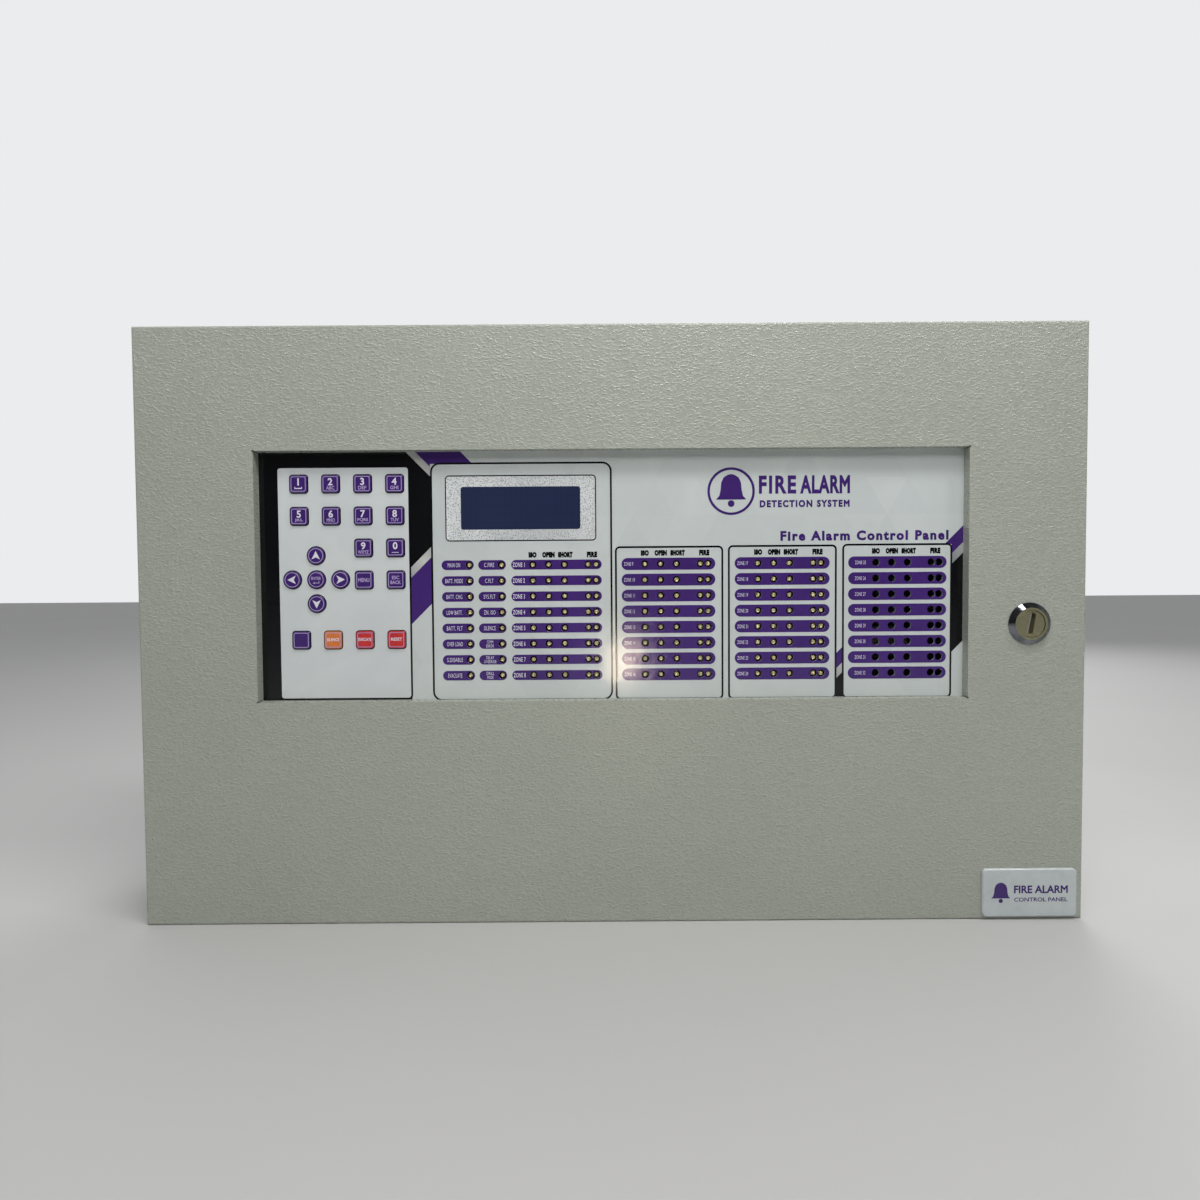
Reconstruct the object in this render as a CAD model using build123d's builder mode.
"""Fire alarm control panel: wall cabinet, hinged door with a display fascia, keys, lock, electronics and
standby batteries. Millimetres. X runs right, the front faces -Y and +Z is up. The origin is the centre of the
four wall fixing holes, on the wall plane. Depths below are distances out from the wall, along -Y."""

import os

from build123d import *

# ---- cabinet and door envelope ----
CABINET_W = 600.0
CABINET_H = 380.0
SHEET = 1.2
BOX_DEPTH = 100.5
LIP_W = 16.0
DOOR_BACK = 102.0
DOOR_FRONT = 120.0
DOOR_INNER = DOOR_FRONT - SHEET
FOLD_R = 1.5

# ---- wall fixing and cable entries ----
WALL_HOLE_X = 260.0
WALL_HOLE_Z = 150.0
WALL_HOLE_R = 3.5
WELD_STUD_L = 8.0
ENTRY_PLATE_X = 160.0
ENTRY_PLATE_W = 146.0
ENTRY_PLATE_D = 50.0
ENTRY_PLATE_T = 1.5
ENTRY_SLOT_W = 132.0
ENTRY_SLOT_D = 34.0
ENTRY_PITCH = 50.0
ENTRY_X = [side * ENTRY_PLATE_X + i * ENTRY_PITCH for side in (-1, 1) for i in (-1, 0, 1)]
ENTRY_DEPTH = 50.0
ENTRY_R = 10.25
ENTRY_TOP = CABINET_H / 2 - SHEET
ENTRY_Z = ENTRY_TOP - ENTRY_PLATE_T / 2
GROMMET_BORE_R = 7.0
GROMMET_R = 12.5
GROMMET_T = 6.0
GROMMET_ROUND = 1.2
GROMMET_NECK_R = 10.15
GROOVE_D = 4.0
GROOVE_SLACK = 0.02

# ---- hinge ----
HINGE_X = -296.0
HINGE_DEPTH = 110.0
HINGE_PIN_R = 1.5
HINGE_RUN_R = 1.55
HINGE_Z = [150.0, -150.0]
HINGE_TAB_T = 3.0
HINGE_TAB_R = 3.0
HINGE_PLATE_R = 2.6
HINGE_PLATE_T = 3.0
HINGE_PLATE_W = 7.6
HINGE_PLATE_SHIFT = 1.4
HINGE_FOOT_H = 14.0
HINGE_FOOT_T = 1.5
HINGE_GAP = 0.3
PIN_HEAD_R = 2.4
PIN_HEAD_T = 1.2
PIN_END = 1.8
NOTCH_FRONT = 116.0
NOTCH_H = 7.0

# ---- window and fascia ----
WINDOW_W = 451.0
WINDOW_H = 159.0
WINDOW_Z = 32.5
CORNER_RELIEF_R = 0.8
FLANGE_BACK = 112.0
OVERLAY_FRONT = 112.0
OVERLAY_T = 0.5
PLATE_T = 1.5
PLATE_FRONT = OVERLAY_FRONT - OVERLAY_T
PLATE_BACK = PLATE_FRONT - PLATE_T
PLATE_W = 480.0
PLATE_H = 190.0
PLATE_CORNER = 4.0
OVERLAY_INSET = 11.0
OVERLAY_CORNER = 3.0
FASCIA_STUDS = [(x, WINDOW_Z + z) for x in (-233.0, 0.0, 233.0) for z in (-88.5, 88.5)]
FASCIA_STUDS += [(-233.0, WINDOW_Z), (233.0, WINDOW_Z)]
DOOR_EARTH = (-262.0, -75.0)
STUD_R = 2.0
STUD_TIP = 104.0
STUD_SLACK = 0.2
BOARD_FRONT = 101.0
BOARD_T = 1.6
BOARD_CORNER = 2.0
BOARD_BACK = BOARD_FRONT - BOARD_T

# ---- keys ----
KEY_W = 11.0
KEY_R = 5.5
KEY_CORNER = 1.6
KEY_FRONT = 113.2
KEY_GAP = 0.3
KEY_TRAVEL = 0.6
FLANGE_W = 14.0
FLANGE_R = 6.9
SWITCH_TOP = 106.0
SWITCH_W = 6.0
SWITCH_BODY_T = 3.5
SWITCH_STEM_R = 1.75
KEY_FLANGE_T = 1.0
KEY_STEM_R = 2.0
KEY_STEM_GAP = 0.05
KEY_ROUND = 0.5
KEY_COLS = [-199.8, -179.4, -159.0, -138.6]
KEY_ROWS = [91.9, 71.4, 50.9, 30.4]
FUNCTION_Z = -8.0
NAV_X = -189.5
NAV_Z = 30.8
NAV_PITCH = 15.4

SQUARE_KEYS = {
    "key_1": (KEY_COLS[0], KEY_ROWS[0]),
    "key_2": (KEY_COLS[1], KEY_ROWS[0]),
    "key_3": (KEY_COLS[2], KEY_ROWS[0]),
    "key_4": (KEY_COLS[3], KEY_ROWS[0]),
    "key_5": (KEY_COLS[0], KEY_ROWS[1]),
    "key_6": (KEY_COLS[1], KEY_ROWS[1]),
    "key_7": (KEY_COLS[2], KEY_ROWS[1]),
    "key_8": (KEY_COLS[3], KEY_ROWS[1]),
    "key_9": (KEY_COLS[2], KEY_ROWS[2]),
    "key_0": (KEY_COLS[3], KEY_ROWS[2]),
    "key_menu": (KEY_COLS[2], KEY_ROWS[3]),
    "key_back": (KEY_COLS[3], KEY_ROWS[3]),
    "key_spare": (KEY_COLS[0], FUNCTION_Z),
    "key_silence": (KEY_COLS[1], FUNCTION_Z),
    "key_evacuate": (KEY_COLS[2], FUNCTION_Z),
    "key_reset": (KEY_COLS[3], FUNCTION_Z),
}
ROUND_KEYS = {
    "key_up": (NAV_X, NAV_Z + NAV_PITCH),
    "key_down": (NAV_X, NAV_Z - NAV_PITCH),
    "key_left": (NAV_X - NAV_PITCH, NAV_Z),
    "key_right": (NAV_X + NAV_PITCH, NAV_Z),
    "key_enter": (NAV_X, NAV_Z),
}
SQUARE_AT = list(SQUARE_KEYS.values())
ROUND_AT = list(ROUND_KEYS.values())

# ---- indicators: 3 mm lamps on a 10.16 mm row pitch ----
LAMP_ROWS = [39.5 - 10.16 * i for i in range(8)]
LAMP_STEPS = [0.0, 10.16, 20.32, 35.56, 40.64]
GROUP_X = [-50.9, 21.1, 93.8, 169.4]
STATUS_X = [-91.6, -71.0]
LAMP_HOLE_R = 2.38
LAMP_TIP = 111.9
LAMP_R = 1.5
LAMP_RIM_R = 1.9
LAMP_RIM_BACK = 106.6
LAMP_RIM_FRONT = 107.6
LAMP_LEAD_R = 1.1
STATUS_AT = [(x, z) for x in STATUS_X for z in LAMP_ROWS]
GROUP_AT = [[(x + step, z) for step in LAMP_STEPS for z in LAMP_ROWS] for x in GROUP_X]
# The fourth group of zones has holes only: its lamps and board aren't fitted.
HOLES_AT = STATUS_AT + GROUP_AT[0] + GROUP_AT[1] + GROUP_AT[2] + GROUP_AT[3]
LAMPS_AT = STATUS_AT + GROUP_AT[0] + GROUP_AT[1] + GROUP_AT[2]

# ---- liquid crystal module ----
LCD_X = -58.3
LCD_Z = 75.8
LCD_VIEW_W = 76.4
LCD_VIEW_H = 27.3
LCD_BOARD_W = 98.0
LCD_BOARD_H = 57.0
LCD_FRAME_W = 97.0
LCD_FRAME_H = 40.0
LCD_FRONT = PLATE_BACK - 0.3
LCD_SINK = 0.8
LCD_SIGHT = 1.0

# ---- boards behind the fascia ----
DISPLAY_BOARD_X = -109.25
DISPLAY_BOARD_W = 231.5
DISPLAY_BOARD_Z = 29.5
DISPLAY_BOARD_H = 153.0
DISPLAY_STUDS = [(x, z) for x in (-219.0, -122.0, 0.5) for z in (100.0, -42.0)]
ZONE_BOARD_W = 58.0
ZONE_BOARD_H = 96.0
ZONE_BOARD_Z = 5.0
ZONE_BOARD_X = [GROUP_X[1] + LAMP_STEPS[-1] / 2, GROUP_X[2] + LAMP_STEPS[-1] / 2]
ZONE_STUDS = [(x + dx, ZONE_BOARD_Z + dz) for x in ZONE_BOARD_X for dx, dz in ((-25.0, 44.0), (25.0, -44.0))]
PLATE_STUDS = DISPLAY_STUDS + ZONE_STUDS
NUT_AF = 7.0
NUT_T = 3.2
STUD_END = 1.4
SPACER_R = 3.5
EARTH_NUT_BACK = 6.0
BUZZER_AT = (-165.0, -30.0)
BUZZER_R = 11.5
BUZZER_T = 9.0
BUZZER_HOLE_R = 1.6
BUZZER_HOLE_D = 4.0

# ---- lock and badge ----
LOCK_X = 264.0
LOCK_Z = 0.0
LOCK_BEZEL_R = 13.3
LOCK_FACE_R = 10.2
LOCK_RIM_T = 0.7
LOCK_PROUD = 3.2
LOCK_BARREL_R = 11.0
LOCK_FLAT = 20.1
LOCK_BACK = 101.0
LOCK_LEAD_IN = 0.5
LOCK_SLACK = 0.15
LOCK_NUT_AF = 26.0
LOCK_NUT_T = 4.0
PLUG_R = 8.65
PLUG_BORE_R = 8.7
PLUG_FRONT = 122.8
PLUG_BACK = 100.5
PLUG_ROUND = 0.4
PLUG_SQUARE = 8.0
SLOT_W = 3.8
SLOT_L = 14.6
SLOT_DEPTH = 5.0
SLOT_TILT = -11.0
CAM_FRONT = 98.3
CAM_T = 2.0
CAM_REACH = 30.0
CAM_W = 14.0
CAM_HUB_R = 10.0
CAM_CORNER = 3.0
CAM_WASHER_R = 7.5
CAM_WASHER_T = 1.2
CAM_HEAD_AF = 10.0
CAM_HEAD_T = 4.0
BADGE_X = 265.5
BADGE_Z = -172.4
BADGE_W = 60.5
BADGE_H = 31.2
BADGE_T = 2.0
BADGE_CORNER = 3.0
BADGE_DOME = 1.2

# ---- inside the cabinet ----
CHASSIS_W = 490.0
CHASSIS_H = 250.0
CHASSIS_Z = 45.0
CHASSIS_BACK = 8.0
CHASSIS_T = 1.5
CHASSIS_FRONT = CHASSIS_BACK + CHASSIS_T
CHASSIS_STUDS = [(x, z) for x in (-235.0, 0.0, 235.0) for z in (-70.0, 160.0)]
MAIN_X = -80.0
MAIN_Z = 45.0
MAIN_W = 300.0
MAIN_H = 206.0
MAIN_BACK = 17.5
MAIN_FRONT = MAIN_BACK + BOARD_T
MAIN_FIX = [(MAIN_X + x, MAIN_Z + z) for x in (-145.0, 0.0, 145.0) for z in (-98.0, 98.0)]
SCREW_R = 1.5
SCREW_L = 6.0
SCREW_HEAD_R = 2.8
SCREW_HEAD_T = 2.0
CROSS_L = 3.2
CROSS_W = 0.8
CROSS_D = 1.0
STANDOFF_AF = 5.5
RELAY_W = 15.4
RELAY_H = 19.0
RELAY_T = 15.2
RELAY_ROUND = 0.6
RELAYS_AT = [(MAIN_X + 30.0 + 18.5 * i, MAIN_Z - 60.0) for i in range(6)]
BIG_CAP_R = 9.0
BIG_CAPS_AT = [(MAIN_X + 128.0, MAIN_Z + 10.0), (MAIN_X + 128.0, MAIN_Z + 32.0)]
SMALL_CAP_R = 6.25
SMALL_CAPS_AT = [(MAIN_X + 108.0, MAIN_Z + 8.0), (MAIN_X + 108.0, MAIN_Z + 24.0)]
CAP_T = 26.0
CAP_ROUND = 1.0
TERMINAL_WAYS = 10
TERMINAL_PITCH = 5.08
TERMINAL_W = 52.0
TERMINAL_H = 12.0
TERMINAL_BODY_T = 11.0
TERMINAL_TOP_H = 9.0
TERMINAL_TOP_T = 5.0
TERMINAL_T = TERMINAL_BODY_T + TERMINAL_TOP_T
TERMINAL_STEP = 1.5
TERMINAL_Z = 88.0
TERMINAL_X = [MAIN_X - 119.0 + 56.0 * i for i in range(5)]
TERMINAL_OFFSETS = [TERMINAL_PITCH * (i - (TERMINAL_WAYS - 1) / 2) for i in range(TERMINAL_WAYS)]
WELL_R = 1.7
WELL_D = 3.0
MOUTH_W = 3.4
MOUTH_T = 4.0
MOUTH_D = 5.0
MOUTH_DEPTH = MAIN_FRONT + 5.5
SUPPLY_X = 157.5
SUPPLY_Z = 98.0
SUPPLY_W = 159.0
SUPPLY_H = 97.0
SUPPLY_T = 38.0
SUPPLY_FRONT = CHASSIS_FRONT + SUPPLY_T
SUPPLY_LEFT = SUPPLY_X - SUPPLY_W / 2
RECESS_W = 18.0
RECESS_D = 20.0
RECESS_RIM = 1.5
SUPPLY_TERMINAL_X = SUPPLY_LEFT + 9.5
SUPPLY_TERMINAL_W = 13.0
SUPPLY_TERMINAL_H = 76.0
SUPPLY_TERMINAL_T = 9.0
SUPPLY_TERMINAL_FRONT = SUPPLY_FRONT - RECESS_D + SUPPLY_TERMINAL_T
MAINS_X = 190.0
MAINS_Z = -20.0
MAINS_W = 64.0
MAINS_H = 24.0
MAINS_T = 10.0
MAINS_TOP_H = 13.0
MAINS_TOP_T = 9.0
MAINS_CORNER = 1.5
MAINS_PITCH = 12.0
MAINS_WELL_R = 2.6
BATTERY_W = 151.0
BATTERY_T = 65.0
BATTERY_H = 94.0
BATTERY_LID_H = 18.0
BATTERY_LID_STEP = 1.0
BATTERY_ROUND = 2.0
BATTERY_TOP_ROUND = 1.2
TAB_X = 66.0
TAB_DEPTH = 53.0
TAB_W = 4.75
TAB_T = 0.8
TAB_H = 6.3
BATTERY_BACK = 3.0
BATTERY_FLOOR = -CABINET_H / 2 + SHEET
BATTERY_FRONT = BATTERY_BACK + BATTERY_T
BATTERY_LEFT_X = -165.0
BATTERY_RIGHT_X = -4.0
STRAP_Z = -124.0
STRAP_H = 20.0
STRAP_T = 1.5
STRAP_LEFT = -244.0
STRAP_RIGHT = 75.0
STRAP_GAP = 0.4
STRAP_FOOT = 11.0
STRAP_ROUND = 1.4
EARTH = (-276.0, -60.0)
EARTH_WASHER_R = 5.5
EARTH_WASHER_T = 1.6
EARTH_NUT_AF = 10.0
EARTH_NUT_T = 4.5
EARTH_STUD_R = 2.9
EARTH_STUD_L = 12.0
EARTH_TIP = SHEET + EARTH_WASHER_T + EARTH_NUT_T + EARTH_STUD_L

# ---- leads ----
WIRE_R = 1.3
WIRE_BEND = 4.0
EARTH_LEAD_R = 1.6
RIBBON_W = 33.0
RIBBON_T = 0.9
RIBBON_Z = 40.0
RIBBON_MAIN_X = -212.0
RIBBON_DOOR_X = -208.0
RIBBON_FOLD_X = -286.0
RIBBON_BACK_FOLD = 44.0
RIBBON_FRONT_FOLD = 78.0
LINK_BEND = 6.0
EARTH_LOOP_Z = -112.0
EARTH_LOOP_BACK = 46.0
EARTH_LOOP_FRONT = 82.0
EARTH_RISE_DEPTH = 88.0

os.makedirs("parts", exist_ok=True)


def front(depth):
    """A plane parallel to the wall at this depth, seen from the front: local X is right and local Y is up."""
    return Plane.XZ.offset(depth)


def save(part, name):
    part.label = name
    export_step(part, f"parts/{name}.step")


# ================= cabinet =================
with BuildPart() as back_box:
    with BuildSketch(front(0)):
        Rectangle(CABINET_W, CABINET_H)
    extrude(amount=BOX_DEPTH)
    fillet(back_box.faces().sort_by(Axis.Y)[-1].edges(), FOLD_R)
    with BuildSketch(front(SHEET)):
        Rectangle(CABINET_W - 2 * SHEET, CABINET_H - 2 * SHEET)
    extrude(amount=BOX_DEPTH - 2 * SHEET, mode=Mode.SUBTRACT)
    with BuildSketch(front(BOX_DEPTH)):
        Rectangle(CABINET_W - 2 * SHEET - 2 * LIP_W, CABINET_H - 2 * SHEET - 2 * LIP_W)
    extrude(amount=-2 * SHEET, mode=Mode.SUBTRACT)
    with BuildSketch(front(0)):
        with GridLocations(2 * WALL_HOLE_X, 2 * WALL_HOLE_Z, 2, 2):
            Circle(WALL_HOLE_R)
    extrude(amount=SHEET, mode=Mode.SUBTRACT)
    with BuildSketch(Plane.XY.offset(CABINET_H / 2)):
        with Locations((-ENTRY_PLATE_X, -ENTRY_DEPTH), (ENTRY_PLATE_X, -ENTRY_DEPTH)):
            Rectangle(ENTRY_SLOT_W, ENTRY_SLOT_D)
    extrude(amount=-SHEET, mode=Mode.SUBTRACT)
    # Shouldered weld studs carry the chassis plate.
    with BuildSketch(front(SHEET)):
        with Locations(CHASSIS_STUDS):
            Circle(2 * STUD_R)
    extrude(amount=CHASSIS_BACK - SHEET)
    with BuildSketch(front(CHASSIS_BACK)):
        with Locations(CHASSIS_STUDS):
            Circle(STUD_R)
    extrude(amount=WELD_STUD_L)
# Plates welded under the two openings in the top carry the cable entries.
with BuildPart() as entry_plates:
    with BuildSketch(Plane.XY.offset(ENTRY_TOP)):
        with Locations((-ENTRY_PLATE_X, -ENTRY_DEPTH), (ENTRY_PLATE_X, -ENTRY_DEPTH)):
            Rectangle(ENTRY_PLATE_W, ENTRY_PLATE_D)
        with Locations([(x, -ENTRY_DEPTH) for x in ENTRY_X]):
            Circle(ENTRY_R, mode=Mode.SUBTRACT)
    extrude(amount=-ENTRY_PLATE_T)
save(Compound(children=[back_box.part.solid()] + list(entry_plates.part.solids())), "back_box")

with BuildPart() as hinge_brackets:
    for z in HINGE_Z:
        with BuildSketch(Plane.XY.offset(z - HINGE_TAB_T / 2)):
            with Locations((HINGE_X, -(BOX_DEPTH + HINGE_DEPTH) / 2)):
                Rectangle(2 * HINGE_TAB_R, HINGE_DEPTH - BOX_DEPTH)
            with Locations((HINGE_X, -HINGE_DEPTH)):
                Circle(HINGE_TAB_R)
                Circle(HINGE_RUN_R, mode=Mode.SUBTRACT)
        extrude(amount=HINGE_TAB_T)
save(hinge_brackets.part, "hinge_brackets")

with BuildPart() as cable_grommets:
    for x in ENTRY_X:
        with BuildSketch(Plane.YZ.offset(x)):
            with Locations((-ENTRY_DEPTH - (GROMMET_BORE_R + GROMMET_R) / 2, ENTRY_Z)):
                RectangleRounded(GROMMET_R - GROMMET_BORE_R, GROMMET_T, GROMMET_ROUND)
            with Locations((-ENTRY_DEPTH - GROMMET_NECK_R - GROOVE_D / 2, ENTRY_Z)):
                Rectangle(GROOVE_D, ENTRY_PLATE_T + GROOVE_SLACK, mode=Mode.SUBTRACT)
        revolve(axis=Axis((x, -ENTRY_DEPTH, 0), (0, 0, 1)))
save(cable_grommets.part, "cable_grommets")

with BuildPart() as chassis_plate:
    with BuildSketch(front(CHASSIS_BACK)):
        with Locations((0, CHASSIS_Z)):
            RectangleRounded(CHASSIS_W, CHASSIS_H, PLATE_CORNER)
        with Locations(CHASSIS_STUDS):
            Circle(STUD_R + STUD_SLACK, mode=Mode.SUBTRACT)
    extrude(amount=CHASSIS_T)
save(chassis_plate.part, "chassis_plate")

with BuildPart() as chassis_nuts:
    with BuildSketch(front(CHASSIS_FRONT)):
        with Locations(CHASSIS_STUDS):
            RegularPolygon(NUT_AF / 2, 6, major_radius=False)
            Circle(STUD_R, mode=Mode.SUBTRACT)
    extrude(amount=NUT_T)
save(chassis_nuts.part, "chassis_nuts")

with BuildPart() as board_standoffs:
    with BuildSketch(front(CHASSIS_FRONT)):
        with Locations(MAIN_FIX):
            RegularPolygon(STANDOFF_AF / 2, 6, major_radius=False)
            Circle(SCREW_R, mode=Mode.SUBTRACT)
    extrude(amount=MAIN_BACK - CHASSIS_FRONT)
save(board_standoffs.part, "board_standoffs")

with BuildPart() as main_board:
    with BuildSketch(front(MAIN_BACK)):
        with Locations((MAIN_X, MAIN_Z)):
            RectangleRounded(MAIN_W, MAIN_H, BOARD_CORNER)
        with Locations(MAIN_FIX):
            Circle(SCREW_R + STUD_SLACK, mode=Mode.SUBTRACT)
    extrude(amount=BOARD_T)
save(main_board.part, "main_board")

with BuildPart() as board_screws:
    with BuildSketch(front(MAIN_FRONT - SCREW_L)):
        with Locations(MAIN_FIX):
            Circle(SCREW_R)
    extrude(amount=SCREW_L)
    with BuildSketch(front(MAIN_FRONT)):
        with Locations(MAIN_FIX):
            Circle(SCREW_HEAD_R)
    extrude(amount=SCREW_HEAD_T)
    with BuildSketch(front(MAIN_FRONT + SCREW_HEAD_T)):
        with Locations(MAIN_FIX):
            Rectangle(CROSS_L, CROSS_W)
            Rectangle(CROSS_W, CROSS_L)
    extrude(amount=-CROSS_D, mode=Mode.SUBTRACT)
save(board_screws.part, "board_screws")

with BuildPart() as relays:
    with BuildSketch(front(MAIN_FRONT)):
        with Locations(RELAYS_AT):
            Rectangle(RELAY_W, RELAY_H)
    extrude(amount=RELAY_T)
    fillet(relays.faces().filter_by(Axis.Y).sort_by(Axis.Y)[: len(RELAYS_AT)].edges(), RELAY_ROUND)
save(relays.part, "relays")

with BuildPart() as capacitors:
    with BuildSketch(front(MAIN_FRONT)):
        with Locations(BIG_CAPS_AT):
            Circle(BIG_CAP_R)
        with Locations(SMALL_CAPS_AT):
            Circle(SMALL_CAP_R)
    extrude(amount=CAP_T)
    tops = capacitors.faces().filter_by(Axis.Y).sort_by(Axis.Y)[: len(BIG_CAPS_AT + SMALL_CAPS_AT)]
    fillet(tops.edges(), CAP_ROUND)
save(capacitors.part, "capacitors")

# Pluggable field terminals, ten ways each, along the top and bottom of the main board.
with BuildPart() as terminal_blocks:
    for way in (1.0, -1.0):
        z = MAIN_Z + way * TERMINAL_Z
        for x in TERMINAL_X:
            with BuildSketch(front(MAIN_FRONT)):
                with Locations((x, z)):
                    Rectangle(TERMINAL_W, TERMINAL_H)
            extrude(amount=TERMINAL_BODY_T)
            with BuildSketch(front(MAIN_FRONT + TERMINAL_BODY_T)):
                with Locations((x, z - way * TERMINAL_STEP)):
                    Rectangle(TERMINAL_W, TERMINAL_TOP_H)
            extrude(amount=TERMINAL_TOP_T)
            # Screw wells in the front and wire mouths in the outer side of every way.
            with BuildSketch(front(MAIN_FRONT + TERMINAL_T)):
                with Locations([(x + offset, z - way * TERMINAL_STEP) for offset in TERMINAL_OFFSETS]):
                    Circle(WELL_R)
            extrude(amount=-WELL_D, mode=Mode.SUBTRACT)
            with BuildSketch(Plane.XY.offset(z + way * TERMINAL_H / 2)):
                with Locations([(x + offset, -MOUTH_DEPTH) for offset in TERMINAL_OFFSETS]):
                    Rectangle(MOUTH_W, MOUTH_T)
            extrude(amount=-way * MOUTH_D, mode=Mode.SUBTRACT)
save(terminal_blocks.part, "terminal_blocks")

with BuildPart() as power_supply:
    with BuildSketch(front(CHASSIS_FRONT)):
        with Locations((SUPPLY_X, SUPPLY_Z)):
            Rectangle(SUPPLY_W, SUPPLY_H)
    extrude(amount=SUPPLY_T)
    # The terminal recess on the left end is open towards the front.
    with BuildSketch(front(SUPPLY_FRONT)):
        with Locations((SUPPLY_LEFT + RECESS_W / 2, SUPPLY_Z)):
            Rectangle(RECESS_W, SUPPLY_H - 2 * RECESS_RIM)
    extrude(amount=-RECESS_D, mode=Mode.SUBTRACT)
    with BuildSketch(front(SUPPLY_FRONT - RECESS_D)):
        with Locations((SUPPLY_TERMINAL_X, SUPPLY_Z)):
            Rectangle(SUPPLY_TERMINAL_W, SUPPLY_TERMINAL_H)
    extrude(amount=SUPPLY_TERMINAL_T)
save(power_supply.part, "power_supply")

with BuildPart() as mains_block:
    with BuildSketch(front(CHASSIS_FRONT)):
        with Locations((MAINS_X, MAINS_Z)):
            RectangleRounded(MAINS_W, MAINS_H, MAINS_CORNER)
    extrude(amount=MAINS_T)
    with BuildSketch(front(CHASSIS_FRONT + MAINS_T)):
        with Locations((MAINS_X, MAINS_Z)):
            RectangleRounded(MAINS_W, MAINS_TOP_H, MAINS_CORNER)
    extrude(amount=MAINS_TOP_T)
    with BuildSketch(front(CHASSIS_FRONT + MAINS_T + MAINS_TOP_T)):
        with Locations([(MAINS_X + MAINS_PITCH * (i - 2), MAINS_Z) for i in range(5)]):
            Circle(MAINS_WELL_R)
    extrude(amount=-MOUTH_D, mode=Mode.SUBTRACT)
save(mains_block.part, "mains_block")

with BuildPart() as earth_stud:
    with BuildSketch(front(SHEET)):
        with Locations(EARTH):
            Circle(EARTH_WASHER_R)
    extrude(amount=EARTH_WASHER_T)
    with BuildSketch(front(SHEET + EARTH_WASHER_T)):
        with Locations(EARTH):
            RegularPolygon(EARTH_NUT_AF / 2, 6, major_radius=False)
    extrude(amount=EARTH_NUT_T)
    with BuildSketch(front(EARTH_TIP - EARTH_STUD_L)):
        with Locations(EARTH):
            Circle(EARTH_STUD_R)
    extrude(amount=EARTH_STUD_L)
save(earth_stud.part, "earth_stud")

for name, x in (("battery_left", BATTERY_LEFT_X), ("battery_right", BATTERY_RIGHT_X)):
    with BuildPart() as battery:
        with BuildSketch(Plane.XY.offset(BATTERY_FLOOR)):
            with Locations((x, -BATTERY_BACK - BATTERY_T / 2)):
                RectangleRounded(BATTERY_W, BATTERY_T, BATTERY_ROUND)
        extrude(amount=BATTERY_H - BATTERY_LID_H)
        with BuildSketch(Plane.XY.offset(BATTERY_FLOOR + BATTERY_H - BATTERY_LID_H)):
            with Locations((x, -BATTERY_BACK - BATTERY_T / 2)):
                RectangleRounded(BATTERY_W - BATTERY_LID_STEP, BATTERY_T - BATTERY_LID_STEP, BATTERY_ROUND)
        extrude(amount=BATTERY_LID_H)
        fillet(battery.faces().sort_by(Axis.Z)[-1].edges(), BATTERY_TOP_ROUND)
        # Two flat tab terminals stand on the lid beside the short ends.
        with BuildSketch(Plane.XY.offset(BATTERY_FLOOR + BATTERY_H)):
            with Locations([(x - TAB_X, -TAB_DEPTH), (x + TAB_X, -TAB_DEPTH)]):
                Rectangle(TAB_W, TAB_T)
        extrude(amount=TAB_H)
    save(battery.part, name)

STRAP_BACK = BATTERY_FRONT + STRAP_GAP
with BuildPart() as battery_bracket:
    with BuildSketch(Plane.XY.offset(STRAP_Z - STRAP_H / 2)):
        with BuildLine():
            Polyline(
                (STRAP_LEFT - STRAP_FOOT, -SHEET),
                (STRAP_LEFT, -SHEET),
                (STRAP_LEFT, -STRAP_BACK),
                (STRAP_RIGHT, -STRAP_BACK),
                (STRAP_RIGHT, -SHEET),
                (STRAP_RIGHT + STRAP_FOOT, -SHEET),
                (STRAP_RIGHT + STRAP_FOOT, -SHEET - STRAP_T),
                (STRAP_RIGHT + STRAP_T, -SHEET - STRAP_T),
                (STRAP_RIGHT + STRAP_T, -STRAP_BACK - STRAP_T),
                (STRAP_LEFT - STRAP_T, -STRAP_BACK - STRAP_T),
                (STRAP_LEFT - STRAP_T, -SHEET - STRAP_T),
                (STRAP_LEFT - STRAP_FOOT, -SHEET - STRAP_T),
                close=True,
            )
        make_face()
    extrude(amount=STRAP_H)
    # The two front corners, where the strap folds back to the cabinet.
    corners = battery_bracket.edges().filter_by(Axis.Z).group_by(Axis.Y)[0]
    fillet(corners, STRAP_ROUND)
save(battery_bracket.part, "battery_bracket")

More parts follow.
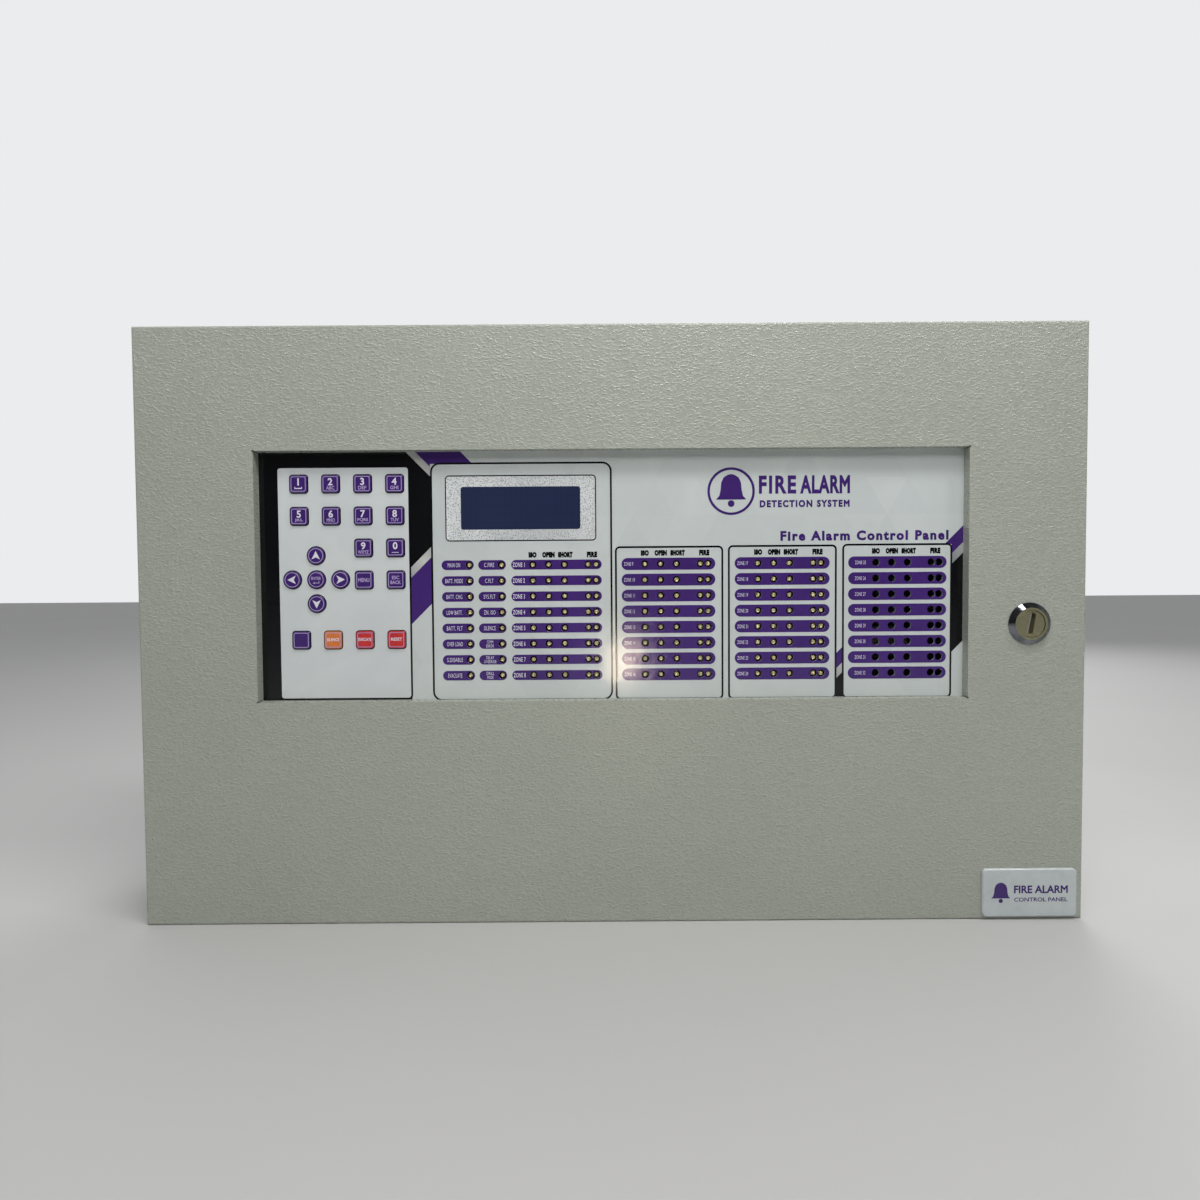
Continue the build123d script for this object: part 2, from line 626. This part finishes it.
# Insulated leads: each run is a list of corners, joined by tangent bends.
TAB_TOP = BATTERY_FLOOR + BATTERY_H + TAB_H + 0.9
LINK_Z = TAB_TOP + 12.0
RISE_Z = TAB_TOP + 17.0
BOARD_LEAD_Z = MAIN_Z - TERMINAL_Z - TERMINAL_H / 2 - 0.3
LEAD_WAYS = [TERMINAL_X[4] + offset for offset in TERMINAL_OFFSETS]
WIRE_RUNS = [
    # link between the two batteries
    [
        (BATTERY_LEFT_X + TAB_X, -TAB_DEPTH, TAB_TOP),
        (BATTERY_LEFT_X + TAB_X, -TAB_DEPTH, LINK_Z),
        (BATTERY_RIGHT_X - TAB_X, -TAB_DEPTH, LINK_Z),
        (BATTERY_RIGHT_X - TAB_X, -TAB_DEPTH, TAB_TOP),
    ],
    # left battery to the main board
    [
        (BATTERY_LEFT_X - TAB_X, -TAB_DEPTH, TAB_TOP),
        (BATTERY_LEFT_X - TAB_X, -TAB_DEPTH, RISE_Z),
        (LEAD_WAYS[0] - 24.0, -TAB_DEPTH, RISE_Z),
        (LEAD_WAYS[0], -MOUTH_DEPTH, RISE_Z),
        (LEAD_WAYS[0], -MOUTH_DEPTH, BOARD_LEAD_Z),
    ],
    # right battery to the main board
    [
        (BATTERY_RIGHT_X + TAB_X, -TAB_DEPTH, TAB_TOP),
        (BATTERY_RIGHT_X + TAB_X, -TAB_DEPTH, RISE_Z),
        (LEAD_WAYS[1] + 20.0, -TAB_DEPTH + 4.0, RISE_Z),
        (LEAD_WAYS[1], -MOUTH_DEPTH, RISE_Z),
        (LEAD_WAYS[1], -MOUTH_DEPTH, BOARD_LEAD_Z),
    ],
]
# Power supply output to the main board, positive and negative.
for i in range(2):
    start_z = 62.0 + 8.0 * i
    over = SUPPLY_FRONT + 3.5 + 3.4 * i
    side_x = SUPPLY_LEFT - 4.0 + 4.0 * i
    low_z = -56.0 - 6.0 * i
    WIRE_RUNS.append(
        [
            (SUPPLY_TERMINAL_X, -SUPPLY_TERMINAL_FRONT, start_z),
            (SUPPLY_TERMINAL_X, -over, start_z),
            (side_x, -over, start_z),
            (side_x, -CHASSIS_FRONT - 30.0, low_z),
            (LEAD_WAYS[4 + i] + 12.0, -MOUTH_DEPTH, low_z - 6.0),
            (LEAD_WAYS[4 + i], -MOUTH_DEPTH, low_z - 6.0),
            (LEAD_WAYS[4 + i], -MOUTH_DEPTH, BOARD_LEAD_Z),
        ]
    )
# Mains leads from the fused terminal block up to the power supply: live, neutral and earth.
for i in range(3):
    block_x = MAINS_X + MAINS_PITCH * (i - 1)
    rise_x = 112.0 - 6.0 * i
    low_depth = CHASSIS_FRONT + 5.0
    over = SUPPLY_FRONT + 5.0
    WIRE_RUNS.append(
        [
            (block_x, -low_depth, MAINS_Z + MAINS_H / 2 + 0.3),
            (block_x, -low_depth, 12.0 + 6.0 * i),
            (rise_x, -low_depth, 12.0 + 6.0 * i),
            (rise_x, -low_depth, 30.0 + 2.0 * i),
            (rise_x, -over, 42.0 + 2.0 * i),
            (SUPPLY_TERMINAL_X, -over, 88.0 + 10.0 * i),
            (SUPPLY_TERMINAL_X, -SUPPLY_TERMINAL_FRONT, 88.0 + 10.0 * i),
        ]
    )
with BuildPart() as internal_wiring:
    for run in WIRE_RUNS:
        with BuildLine() as lead:
            FilletPolyline(*run, radius=WIRE_BEND)
        with BuildSketch(Plane(origin=lead.line @ 0, z_dir=lead.line % 0)) as section:
            Circle(WIRE_R)
        sweep(sections=section.sketch, path=lead.wires()[0])
save(internal_wiring.part, "internal_wiring")

# ================= door =================
with BuildPart() as door_panel:
    with BuildSketch(front(DOOR_BACK)):
        Rectangle(CABINET_W, CABINET_H)
    extrude(amount=DOOR_FRONT - DOOR_BACK)
    fillet(door_panel.faces().sort_by(Axis.Y)[0].edges(), FOLD_R)
    with BuildSketch(front(DOOR_BACK)):
        Rectangle(CABINET_W - 2 * SHEET, CABINET_H - 2 * SHEET)
    extrude(amount=DOOR_INNER - DOOR_BACK, mode=Mode.SUBTRACT)
    # Window flanges fold back from the opening.
    with BuildSketch(front(FLANGE_BACK)):
        with Locations((0, WINDOW_Z)):
            Rectangle(WINDOW_W + 2 * SHEET, WINDOW_H + 2 * SHEET)
    extrude(amount=DOOR_INNER - FLANGE_BACK)
    with BuildSketch(front(FLANGE_BACK)):
        with Locations((0, WINDOW_Z)):
            Rectangle(WINDOW_W, WINDOW_H)
        with Locations((0, WINDOW_Z)):
            with GridLocations(WINDOW_W, WINDOW_H, 2, 2):
                Circle(CORNER_RELIEF_R)
    extrude(amount=DOOR_FRONT - FLANGE_BACK, mode=Mode.SUBTRACT)
    # Double-D hole for the lock barrel.
    with BuildSketch(front(DOOR_BACK)):
        with Locations((LOCK_X, LOCK_Z)):
            Circle(LOCK_BARREL_R + LOCK_SLACK)
        with Locations((LOCK_X, LOCK_Z)):
            Rectangle(LOCK_FLAT + 2 * LOCK_SLACK, 4 * LOCK_BARREL_R, mode=Mode.INTERSECT)
    extrude(amount=DOOR_FRONT - DOOR_BACK, mode=Mode.SUBTRACT)
    # Notches in the left return let the cabinet's hinge tabs in.
    for z in HINGE_Z:
        with BuildSketch(Plane.YZ.offset(-CABINET_W / 2)):
            with Locations((-(DOOR_BACK + NOTCH_FRONT) / 2, z)):
                Rectangle(NOTCH_FRONT - DOOR_BACK, NOTCH_H)
        extrude(amount=SHEET, mode=Mode.SUBTRACT)
    # Weld studs for the fascia plate and for the door's earth lead.
    with BuildSketch(front(DOOR_INNER)):
        with Locations(FASCIA_STUDS):
            Circle(STUD_R)
        with Locations(DOOR_EARTH):
            Circle(STUD_R)
    extrude(amount=STUD_TIP - DOOR_INNER)
save(door_panel.part, "door_panel")

PLATE_Z_BOTTOM = [z + HINGE_TAB_T / 2 + HINGE_GAP for z in HINGE_Z]
with BuildPart() as door_hinge_plates:
    for z in PLATE_Z_BOTTOM:
        with BuildSketch(Plane.XY.offset(z)):
            with Locations((HINGE_X + HINGE_PLATE_SHIFT, -(DOOR_INNER + HINGE_DEPTH) / 2)):
                Rectangle(HINGE_PLATE_W, DOOR_INNER - HINGE_DEPTH)
            with Locations((HINGE_X, -HINGE_DEPTH), (HINGE_X + HINGE_PLATE_R, -HINGE_DEPTH)):
                Circle(HINGE_PLATE_R)
            with Locations((HINGE_X, -HINGE_DEPTH)):
                Circle(HINGE_PIN_R, mode=Mode.SUBTRACT)
        extrude(amount=HINGE_PLATE_T)
        # A foot on the inside of the door face, spot welded.
        with BuildSketch(Plane.XY.offset(z + HINGE_PLATE_T)):
            with Locations((HINGE_X + HINGE_PLATE_SHIFT, -DOOR_INNER + HINGE_FOOT_T / 2)):
                Rectangle(HINGE_PLATE_W, HINGE_FOOT_T)
        extrude(amount=HINGE_FOOT_H)
save(door_hinge_plates.part, "door_hinge_plates")

with BuildPart() as hinge_pins:
    for z in PLATE_Z_BOTTOM:
        with BuildSketch(Plane.XY.offset(z - HINGE_TAB_T - PIN_END)):
            with Locations((HINGE_X, -HINGE_DEPTH)):
                Circle(HINGE_PIN_R)
        extrude(amount=HINGE_TAB_T + PIN_END + HINGE_PLATE_T)
        with BuildSketch(Plane.XY.offset(z + HINGE_PLATE_T)):
            with Locations((HINGE_X, -HINGE_DEPTH)):
                Circle(PIN_HEAD_R)
        extrude(amount=PIN_HEAD_T)
save(hinge_pins.part, "hinge_pins")



def fascia_openings():
    """Cuts the lamp holes and the key openings out of the sketch being built."""
    with Locations(HOLES_AT):
        Circle(LAMP_HOLE_R, mode=Mode.SUBTRACT)
    opening = KEY_W + 2 * KEY_GAP
    with Locations(SQUARE_AT):
        RectangleRounded(opening, opening, KEY_CORNER + KEY_GAP, mode=Mode.SUBTRACT)
    with Locations(ROUND_AT):
        Circle(KEY_R + KEY_GAP, mode=Mode.SUBTRACT)


with BuildPart() as fascia_plate:
    with BuildSketch(front(PLATE_BACK)):
        with Locations((0, WINDOW_Z)):
            RectangleRounded(PLATE_W, PLATE_H, PLATE_CORNER)
        with Locations(FASCIA_STUDS):
            Circle(STUD_R + STUD_SLACK, mode=Mode.SUBTRACT)
        with Locations((LCD_X, LCD_Z)):
            Rectangle(LCD_VIEW_W + 3 * LCD_SIGHT, LCD_VIEW_H + 3 * LCD_SIGHT, mode=Mode.SUBTRACT)
        fascia_openings()
    extrude(amount=PLATE_T)
    # Pressed-in studs carry the boards.
    with BuildSketch(front(PLATE_BACK)):
        with Locations(PLATE_STUDS):
            Circle(STUD_R)
    extrude(amount=BOARD_BACK - PLATE_BACK - NUT_T - STUD_END)
save(fascia_plate.part, "fascia_plate")

with BuildPart() as fascia_overlay:
    with BuildSketch(front(PLATE_FRONT)):
        with Locations((0, WINDOW_Z)):
            RectangleRounded(PLATE_W - 2 * OVERLAY_INSET, PLATE_H - 2 * OVERLAY_INSET, OVERLAY_CORNER)
        fascia_openings()
    extrude(amount=OVERLAY_T)
save(fascia_overlay.part, "fascia_overlay")

with BuildPart() as panel_nuts:
    with BuildSketch(front(PLATE_BACK)):
        with Locations(FASCIA_STUDS):
            RegularPolygon(NUT_AF / 2, 6, major_radius=False)
            Circle(STUD_R, mode=Mode.SUBTRACT)
    extrude(amount=-NUT_T)
    with BuildSketch(front(BOARD_BACK)):
        with Locations(PLATE_STUDS):
            RegularPolygon(NUT_AF / 2, 6, major_radius=False)
            Circle(STUD_R, mode=Mode.SUBTRACT)
    extrude(amount=-NUT_T)
    with BuildSketch(front(DOOR_INNER - EARTH_NUT_BACK)):
        with Locations(DOOR_EARTH):
            RegularPolygon(NUT_AF / 2, 6, major_radius=False)
            Circle(STUD_R, mode=Mode.SUBTRACT)
    extrude(amount=-NUT_T)
save(panel_nuts.part, "panel_nuts")

with BuildPart() as board_spacers:
    with BuildSketch(front(BOARD_FRONT)):
        with Locations(PLATE_STUDS):
            Circle(SPACER_R)
            Circle(STUD_R, mode=Mode.SUBTRACT)
    extrude(amount=PLATE_BACK - BOARD_FRONT)
save(board_spacers.part, "board_spacers")

with BuildPart() as display_board:
    with BuildSketch(front(BOARD_BACK)):
        with Locations((DISPLAY_BOARD_X, DISPLAY_BOARD_Z)):
            RectangleRounded(DISPLAY_BOARD_W, DISPLAY_BOARD_H, BOARD_CORNER)
        with Locations(DISPLAY_STUDS):
            Circle(STUD_R + STUD_SLACK, mode=Mode.SUBTRACT)
    extrude(amount=BOARD_T)
save(display_board.part, "display_board")

with BuildPart() as zone_boards:
    with BuildSketch(front(BOARD_BACK)):
        with Locations([(x, ZONE_BOARD_Z) for x in ZONE_BOARD_X]):
            RectangleRounded(ZONE_BOARD_W, ZONE_BOARD_H, BOARD_CORNER)
        with Locations(ZONE_STUDS):
            Circle(STUD_R + STUD_SLACK, mode=Mode.SUBTRACT)
    extrude(amount=BOARD_T)
save(zone_boards.part, "zone_boards")

with BuildPart() as lcd_module:
    with BuildSketch(front(BOARD_FRONT)):
        with Locations((LCD_X, LCD_Z)):
            Rectangle(LCD_BOARD_W, LCD_BOARD_H)
    extrude(amount=BOARD_T)
    with BuildSketch(front(BOARD_FRONT + BOARD_T)):
        with Locations((LCD_X, LCD_Z)):
            Rectangle(LCD_FRAME_W, LCD_FRAME_H)
    extrude(amount=LCD_FRONT - BOARD_FRONT - BOARD_T)
    with BuildSketch(front(LCD_FRONT)):
        with Locations((LCD_X, LCD_Z)):
            Rectangle(LCD_VIEW_W + 2 * LCD_SIGHT, LCD_VIEW_H + 2 * LCD_SIGHT)
    extrude(amount=-LCD_SINK, mode=Mode.SUBTRACT)
save(lcd_module.part, "lcd_module")

with BuildPart() as indicator_leds:
    for x, z in LAMPS_AT:
        with BuildSketch(Plane.XY.offset(z)):
            with BuildLine():
                Polyline(
                    (x, -LAMP_TIP + LAMP_R),
                    (x, -BOARD_FRONT),
                    (x + LAMP_LEAD_R, -BOARD_FRONT),
                    (x + LAMP_LEAD_R, -LAMP_RIM_BACK),
                    (x + LAMP_RIM_R, -LAMP_RIM_BACK),
                    (x + LAMP_RIM_R, -LAMP_RIM_FRONT),
                    (x + LAMP_R, -LAMP_RIM_FRONT),
                    (x + LAMP_R, -LAMP_TIP + LAMP_R),
                )
                Line((x, -LAMP_TIP), (x, -LAMP_TIP + LAMP_R))
                RadiusArc((x + LAMP_R, -LAMP_TIP + LAMP_R), (x, -LAMP_TIP), LAMP_R)
            make_face()
        revolve(axis=Axis((x, 0, z), (0, 1, 0)))
save(indicator_leds.part, "indicator_leds")

with BuildPart() as key_switches:
    with BuildSketch(front(BOARD_FRONT)):
        with Locations(SQUARE_AT + ROUND_AT):
            Rectangle(SWITCH_W, SWITCH_W)
    extrude(amount=SWITCH_BODY_T)
    with BuildSketch(front(BOARD_FRONT + SWITCH_BODY_T)):
        with Locations(SQUARE_AT + ROUND_AT):
            Circle(SWITCH_STEM_R)
    extrude(amount=SWITCH_TOP - BOARD_FRONT - SWITCH_BODY_T)
save(key_switches.part, "key_switches")

with BuildPart() as panel_buzzer:
    with BuildSketch(front(BOARD_BACK)):
        with Locations(BUZZER_AT):
            Circle(BUZZER_R)
    extrude(amount=-BUZZER_T)
    fillet(panel_buzzer.faces().sort_by(Axis.Y)[-1].edges(), CAP_ROUND)
    with BuildSketch(front(BOARD_BACK - BUZZER_T)):
        with Locations(BUZZER_AT):
            Circle(BUZZER_HOLE_R)
    extrude(amount=BUZZER_HOLE_D, mode=Mode.SUBTRACT)
save(panel_buzzer.part, "panel_buzzer")

with BuildPart() as lock_body:
    with BuildSketch(Plane.YZ.offset(LOCK_X)):
        with BuildLine():
            Polyline(
                (-LOCK_BACK, PLUG_BORE_R),
                (-LOCK_BACK, LOCK_BARREL_R - LOCK_LEAD_IN),
                (-LOCK_BACK - LOCK_LEAD_IN, LOCK_BARREL_R),
                (-DOOR_FRONT, LOCK_BARREL_R),
                (-DOOR_FRONT, LOCK_BEZEL_R),
                (-DOOR_FRONT - LOCK_RIM_T, LOCK_BEZEL_R),
                (-DOOR_FRONT - LOCK_PROUD, LOCK_FACE_R),
                (-DOOR_FRONT - LOCK_PROUD, PLUG_BORE_R),
                close=True,
            )
        make_face()
    revolve(axis=Axis((LOCK_X, 0, LOCK_Z), (0, 1, 0)))
    # Flats on both sides of the barrel, behind the bezel.
    with BuildSketch(front(LOCK_BACK)):
        with Locations((LOCK_X, LOCK_Z)):
            Rectangle(4 * LOCK_BARREL_R, 4 * LOCK_BARREL_R)
            Rectangle(LOCK_FLAT, 4 * LOCK_BARREL_R, mode=Mode.SUBTRACT)
    extrude(amount=DOOR_FRONT - LOCK_BACK, mode=Mode.SUBTRACT)
save(lock_body.part, "lock_body")

with BuildPart() as lock_nut:
    with BuildSketch(front(DOOR_INNER)):
        with Locations((LOCK_X, LOCK_Z)):
            RegularPolygon(LOCK_NUT_AF / 2, 6, major_radius=False)
            Circle(LOCK_BARREL_R, mode=Mode.SUBTRACT)
    extrude(amount=-LOCK_NUT_T)
save(lock_nut.part, "lock_nut")

with BuildPart() as lock_plug:
    with BuildSketch(front(PLUG_BACK)):
        with Locations((LOCK_X, LOCK_Z)):
            Circle(PLUG_R)
    extrude(amount=PLUG_FRONT - PLUG_BACK)
    fillet(lock_plug.faces().sort_by(Axis.Y)[0].edges(), PLUG_ROUND)
    with BuildSketch(front(PLUG_FRONT)):
        with Locations(Location((LOCK_X, LOCK_Z), SLOT_TILT)):
            SlotOverall(SLOT_L, SLOT_W, rotation=90.0)
    extrude(amount=-SLOT_DEPTH, mode=Mode.SUBTRACT)
    with BuildSketch(front(PLUG_BACK)):
        with Locations((LOCK_X, LOCK_Z)):
            Rectangle(PLUG_SQUARE, PLUG_SQUARE)
    extrude(amount=CAM_FRONT - CAM_T - PLUG_BACK)
save(lock_plug.part, "lock_plug")

with BuildPart() as lock_cam:
    with BuildSketch(front(CAM_FRONT)):
        with Locations((LOCK_X, LOCK_Z)):
            Circle(CAM_HUB_R)
        with Locations((LOCK_X, LOCK_Z - CAM_REACH / 2)):
            RectangleRounded(CAM_W, CAM_REACH, CAM_CORNER)
        with Locations((LOCK_X, LOCK_Z)):
            Rectangle(PLUG_SQUARE, PLUG_SQUARE, mode=Mode.SUBTRACT)
    extrude(amount=-CAM_T)
save(lock_cam.part, "lock_cam")

with BuildPart() as cam_screw:
    with BuildSketch(front(CAM_FRONT - CAM_T)):
        with Locations((LOCK_X, LOCK_Z)):
            Circle(CAM_WASHER_R)
    extrude(amount=-CAM_WASHER_T)
    with BuildSketch(front(CAM_FRONT - CAM_T - CAM_WASHER_T)):
        with Locations((LOCK_X, LOCK_Z)):
            RegularPolygon(CAM_HEAD_AF / 2, 6, major_radius=False)
    extrude(amount=-CAM_HEAD_T)
save(cam_screw.part, "cam_screw")

with BuildPart() as badge:
    with BuildSketch(front(DOOR_FRONT)):
        with Locations((BADGE_X, BADGE_Z)):
            RectangleRounded(BADGE_W, BADGE_H, BADGE_CORNER)
    extrude(amount=BADGE_T)
    fillet(badge.faces().sort_by(Axis.Y)[0].edges(), BADGE_DOME)
save(badge.part, "badge")

# ---- keys: a cap through the fascia, a retaining flange behind it and a stem over its switch ----
KEY_BACK = PLATE_BACK - KEY_GAP
STEM_BACK = SWITCH_TOP + KEY_TRAVEL + KEY_STEM_GAP
for name, (x, z) in {**SQUARE_KEYS, **ROUND_KEYS}.items():
    with BuildPart() as key:
        with BuildSketch(front(KEY_BACK)):
            with Locations((x, z)):
                if name in ROUND_KEYS:
                    Circle(KEY_R)
                else:
                    RectangleRounded(KEY_W, KEY_W, KEY_CORNER)
        extrude(amount=KEY_FRONT - KEY_BACK)
        fillet(key.faces().sort_by(Axis.Y)[0].edges(), KEY_ROUND)
        with BuildSketch(front(KEY_BACK)):
            with Locations((x, z)):
                if name in ROUND_KEYS:
                    Circle(FLANGE_R)
                else:
                    RectangleRounded(FLANGE_W, FLANGE_W, KEY_CORNER)
        extrude(amount=-KEY_FLANGE_T)
        with BuildSketch(front(KEY_BACK - KEY_FLANGE_T)):
            with Locations((x, z)):
                Circle(KEY_STEM_R)
        extrude(amount=STEM_BACK - KEY_BACK + KEY_FLANGE_T)
    save(key.part, name)

# ================= flexible links across the hinge =================
# A flat cable from the main board, folded once beside the hinge, to the back of the display board.
RIBBON_END = 9.0
with BuildPart() as door_ribbon:
    with BuildLine(Plane.XY.offset(RIBBON_Z)) as ribbon_path:
        FilletPolyline(
            (RIBBON_MAIN_X, -MAIN_FRONT - RIBBON_END),
            (RIBBON_MAIN_X, -RIBBON_BACK_FOLD),
            (RIBBON_FOLD_X, -RIBBON_BACK_FOLD),
            (RIBBON_FOLD_X, -RIBBON_FRONT_FOLD),
            (RIBBON_DOOR_X, -RIBBON_FRONT_FOLD),
            (RIBBON_DOOR_X, -BOARD_BACK + RIBBON_END),
            radius=LINK_BEND,
        )
    with BuildSketch(Plane(origin=ribbon_path.line @ 0, x_dir=(1, 0, 0), z_dir=ribbon_path.line % 0)) as flat:
        Rectangle(RIBBON_T, RIBBON_W)
    sweep(sections=flat.sketch, path=ribbon_path.wires()[0])
save(door_ribbon.part, "door_ribbon")

# The earth lead hangs in a loop that is long enough for the door at its widest.
with BuildPart() as door_earth_lead:
    with BuildLine() as earth_path:
        FilletPolyline(
            (EARTH[0], -EARTH_TIP - 0.4, EARTH[1]),
            (EARTH[0], -EARTH_LOOP_BACK, EARTH[1]),
            (EARTH[0], -EARTH_LOOP_BACK, EARTH_LOOP_Z),
            (EARTH[0], -EARTH_LOOP_FRONT, EARTH_LOOP_Z),
            (DOOR_EARTH[0], -EARTH_RISE_DEPTH, DOOR_EARTH[1]),
            (DOOR_EARTH[0], -STUD_TIP + 0.4, DOOR_EARTH[1]),
            radius=LINK_BEND,
        )
    with BuildSketch(Plane(origin=earth_path.line @ 0, z_dir=earth_path.line % 0)) as round_section:
        Circle(EARTH_LEAD_R)
    sweep(sections=round_section.sketch, path=earth_path.wires()[0])
save(door_earth_lead.part, "door_earth_lead")
